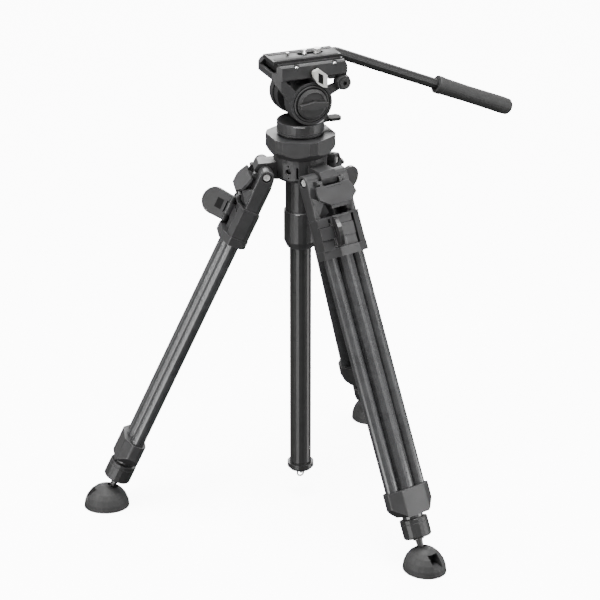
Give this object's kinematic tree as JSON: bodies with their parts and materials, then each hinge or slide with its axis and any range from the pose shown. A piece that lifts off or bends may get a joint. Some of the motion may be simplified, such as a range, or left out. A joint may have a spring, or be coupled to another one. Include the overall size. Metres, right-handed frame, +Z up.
{
  "type": "tripod with fluid head",
  "caption": "Folding three-legged camera stand with twin-tube telescoping legs, a sliding centre column and a pan and tilt fluid head with a quick-release plate and a handle.",
  "frame": {"origin": "on the floor, under the middle of the whole tripod's bounding box", "axes": "+Z up, +X the way the lens points, +Y the operator's left"},
  "size_m": [0.5948, 0.4894, 0.6175],
  "materials": {
    "cast_alloy": "black painted die-cast alloy, satin, fine grain",
    "anodised_alloy": "black anodised, satin",
    "carbon_tube": "woven carbon fibre tube under clear resin",
    "rubber": "matt black rubber",
    "moulded_plastic": "matt black moulding, fine texture",
    "steel": "plated steel",
    "silver_alloy": "bead-blasted silver"
  },
  "bodies": {
    "hub": {"hub_casting": "cast_alloy", "column_guide": "anodised_alloy"},
    "column_sleeve": {"column_lock_sleeve": "anodised_alloy"},
    "column": {"centre_column": "carbon_tube", "column_end_cap": "moulded_plastic", "column_platform": "cast_alloy", "pan_base": "cast_alloy"},
    "hook": {"weight_hook": "steel"},
    "pan_lever": {"pan_lock_lever": "moulded_plastic"},
    "pan": {"tilt_housing": "cast_alloy", "tilt_axle": "steel"},
    "tilt": {"plate_receiver": "cast_alloy", "tilt_drag_cover": "moulded_plastic", "left_rosette": "moulded_plastic"},
    "tilt_knob": {"tilt_lock_knob": "moulded_plastic"},
    "jaw": {"clamp_jaw": "anodised_alloy"},
    "plate_lever": {"plate_lock_lever": "silver_alloy"},
    "plate": {"quick_release_plate": "anodised_alloy"},
    "screw_quarter": {"camera_screw_quarter": "steel"},
    "screw_three_eighths": {"camera_screw_three_eighths": "steel"},
    "pin": {"locating_pin": "steel"},
    "handle": {"handle_clamp": "cast_alloy", "handle_rod": "anodised_alloy", "handle_grip": "rubber"},
    "leg_1_upper": {"leg_1_yoke": "cast_alloy", "leg_1_pivot_pin": "steel", "leg_1_outer_tube_left": "carbon_tube", "leg_1_outer_tube_right": "carbon_tube", "leg_1_lower_bracket": "cast_alloy", "leg_1_lever_pin": "steel"},
    "leg_1_middle": {"leg_1_mid_tube": "carbon_tube"},
    "leg_1_lower": {"leg_1_foot_tube": "anodised_alloy", "leg_1_foot_stud": "steel"},
    "leg_1_foot": {"leg_1_foot_pad": "rubber"},
    "leg_1_lever": {"leg_1_lock_lever": "anodised_alloy"},
    "leg_1_tab": {"leg_1_angle_tab": "cast_alloy"},
    "leg_2_upper": {"leg_2_yoke": "cast_alloy", "leg_2_pivot_pin": "steel", "leg_2_outer_tube_left": "carbon_tube", "leg_2_outer_tube_right": "carbon_tube", "leg_2_lower_bracket": "cast_alloy", "leg_2_lever_pin": "steel"},
    "leg_2_middle": {"leg_2_mid_tube": "carbon_tube"},
    "leg_2_lower": {"leg_2_foot_tube": "anodised_alloy", "leg_2_foot_stud": "steel"},
    "leg_2_foot": {"leg_2_foot_pad": "rubber"},
    "leg_2_lever": {"leg_2_lock_lever": "anodised_alloy"},
    "leg_2_tab": {"leg_2_angle_tab": "cast_alloy"},
    "leg_3_upper": {"leg_3_yoke": "cast_alloy", "leg_3_pivot_pin": "steel", "leg_3_outer_tube_left": "carbon_tube", "leg_3_outer_tube_right": "carbon_tube", "leg_3_lower_bracket": "cast_alloy", "leg_3_lever_pin": "steel"},
    "leg_3_middle": {"leg_3_mid_tube": "carbon_tube"},
    "leg_3_lower": {"leg_3_foot_tube": "anodised_alloy", "leg_3_foot_stud": "steel"},
    "leg_3_foot": {"leg_3_foot_pad": "rubber"},
    "leg_3_lever": {"leg_3_lock_lever": "anodised_alloy"},
    "leg_3_tab": {"leg_3_angle_tab": "cast_alloy"}
  },
  "joints": [
    {"name": "leg_1_spread", "type": "hinge", "parent": "hub", "child": "leg_1_upper", "pos_m": [0.06272, -0.04642, 0.4614], "axis": [-0.2605, -0.9655, 0], "range_deg": [-25, 55]},
    {"name": "leg_1_middle_slide", "type": "slide", "parent": "leg_1_upper", "child": "leg_1_middle", "axis": [0.4105, -0.1108, -0.9051], "range_m": [0, 0.3]},
    {"name": "leg_1_lower_slide", "type": "slide", "parent": "leg_1_middle", "child": "leg_1_lower", "axis": [0.4105, -0.1108, -0.9051], "range_m": [0, 0.27]},
    {"name": "leg_1_foot_swivel", "type": "hinge", "parent": "leg_1_lower", "child": "leg_1_foot", "pos_m": [0.26221, -0.10025, 0.02151], "axis": [0.2605, 0.9655, 0], "range_deg": [-18, 18]},
    {"name": "leg_1_lock_lever_swing", "type": "hinge", "parent": "leg_1_upper", "child": "leg_1_lever", "pos_m": [0.10168, -0.07092, 0.40655], "axis": [-0.4105, 0.1108, 0.9051], "range_deg": [0, 110]},
    {"name": "leg_1_angle_tab_pull", "type": "hinge", "parent": "leg_1_upper", "child": "leg_1_tab", "pos_m": [0.0757, -0.04992, 0.46219], "axis": [-0.2605, -0.9655, 0], "range_deg": [0, 22], "stiffness_Nm_per_rad": 0.3, "springref_deg": -11.46},
    {"name": "leg_2_spread", "type": "hinge", "parent": "hub", "child": "leg_2_upper", "pos_m": [0.00611, 0.01038, 0.4614], "axis": [0.9664, 0.2571, 0], "range_deg": [-25, 55]},
    {"name": "leg_2_middle_slide", "type": "slide", "parent": "leg_2_upper", "child": "leg_2_middle", "axis": [-0.1093, 0.4109, -0.9051], "range_m": [0, 0.3]},
    {"name": "leg_2_lower_slide", "type": "slide", "parent": "leg_2_middle", "child": "leg_2_lower", "axis": [-0.1093, 0.4109, -0.9051], "range_m": [0, 0.27]},
    {"name": "leg_2_foot_swivel", "type": "hinge", "parent": "leg_2_lower", "child": "leg_2_foot", "pos_m": [-0.04701, 0.21006, 0.02151], "axis": [-0.9664, -0.2571, 0], "range_deg": [-18, 18]},
    {"name": "leg_2_lock_lever_swing", "type": "hinge", "parent": "leg_2_upper", "child": "leg_2_lever", "pos_m": [0.00785, 0.05637, 0.40655], "axis": [0.1093, -0.4109, 0.9051], "range_deg": [0, 110]},
    {"name": "leg_2_angle_tab_pull", "type": "hinge", "parent": "leg_2_upper", "child": "leg_2_tab", "pos_m": [0.00266, 0.02337, 0.46219], "axis": [0.9664, 0.2571, 0], "range_deg": [0, 22], "stiffness_Nm_per_rad": 0.3, "springref_deg": -11.46},
    {"name": "leg_3_spread", "type": "hinge", "parent": "hub", "child": "leg_3_upper", "pos_m": [-0.01478, -0.06704, 0.4614], "axis": [-0.7059, 0.7083, 0], "range_deg": [-25, 55]},
    {"name": "leg_3_middle_slide", "type": "slide", "parent": "leg_3_upper", "child": "leg_3_middle", "axis": [-0.3011, -0.3001, -0.9051], "range_m": [0, 0.3]},
    {"name": "leg_3_lower_slide", "type": "slide", "parent": "leg_3_middle", "child": "leg_3_lower", "axis": [-0.3011, -0.3001, -0.9051], "range_m": [0, 0.27]},
    {"name": "leg_3_foot_swivel", "type": "hinge", "parent": "leg_3_lower", "child": "leg_3_foot", "pos_m": [-0.16114, -0.21289, 0.02151], "axis": [0.7059, -0.7083, 0], "range_deg": [-18, 18]},
    {"name": "leg_3_lock_lever_swing", "type": "hinge", "parent": "leg_3_upper", "child": "leg_3_lever", "pos_m": [-0.05547, -0.08853, 0.40655], "axis": [0.3011, 0.3001, 0.9051], "range_deg": [0, 110]},
    {"name": "leg_3_angle_tab_pull", "type": "hinge", "parent": "leg_3_upper", "child": "leg_3_tab", "pos_m": [-0.0243, -0.07653, 0.46219], "axis": [-0.7059, 0.7083, 0], "range_deg": [0, 22], "stiffness_Nm_per_rad": 0.3, "springref_deg": -11.46},
    {"name": "column_slide", "type": "slide", "parent": "hub", "child": "column", "axis": [0, 0, 1], "range_m": [0, 0.28]},
    {"name": "column_lock_twist", "type": "hinge", "parent": "hub", "child": "column_sleeve", "pos_m": [0.01802, -0.03436, 0.382], "axis": [0, 0, 1], "range_deg": [-90, 90]},
    {"name": "hook_swing", "type": "hinge", "parent": "column", "child": "hook", "pos_m": [0.01802, -0.03436, 0.0355], "axis": [1, 0, 0], "range_deg": [-60, 60]},
    {"name": "pan_lock_turn", "type": "hinge", "parent": "column", "child": "pan_lever", "pos_m": [-0.01728, -0.04436, 0.519], "axis": [1, 0, 0], "range_deg": [-60, 60]},
    {"name": "head_pan", "type": "hinge", "parent": "column", "child": "pan", "pos_m": [0.01802, -0.03436, 0.527], "axis": [0, 0, 1], "continuous": true},
    {"name": "head_tilt", "type": "hinge", "parent": "pan", "child": "tilt", "pos_m": [0.01452, -0.03436, 0.5552], "axis": [0, 1, 0], "range_deg": [-30, 60]},
    {"name": "tilt_lock_turn", "type": "hinge", "parent": "tilt", "child": "tilt_knob", "pos_m": [0.01452, -0.00536, 0.5552], "axis": [0, 1, 0], "range_deg": [-120, 120]},
    {"name": "plate_lock_swing", "type": "hinge", "parent": "tilt", "child": "plate_lever", "pos_m": [0.01102, -0.00506, 0.5964], "axis": [0, 1, 0], "range_deg": [0, 75]},
    {"name": "clamp_jaw_slide", "type": "slide", "parent": "tilt", "child": "jaw", "axis": [0, 1, 0], "range_m": [0, 0.00135]},
    {"name": "plate_slide", "type": "slide", "parent": "tilt", "child": "plate", "axis": [1, 0, 0], "range_m": [-0.03, 0.03]},
    {"name": "quarter_screw_turn", "type": "hinge", "parent": "plate", "child": "screw_quarter", "pos_m": [0.01302, -0.03436, 0.605], "axis": [0, 0, 1], "continuous": true},
    {"name": "three_eighths_screw_turn", "type": "hinge", "parent": "plate", "child": "screw_three_eighths", "pos_m": [-0.00398, -0.03436, 0.605], "axis": [0, 0, 1], "continuous": true},
    {"name": "locating_pin_press", "type": "slide", "parent": "plate", "child": "pin", "axis": [0, 0, -1], "range_m": [0, 0.0025], "stiffness_N_per_m": 300, "springref_m": -0.001},
    {"name": "handle_swing", "type": "hinge", "parent": "tilt", "child": "handle", "pos_m": [-0.03198, -0.07436, 0.577], "axis": [0, 1, 0], "range_deg": [-15, 60]}
  ],
  "couplings": [
    {"joint": "clamp_jaw_slide", "follows": "plate_lock_swing", "m_per_rad": 0.001}
  ]
}
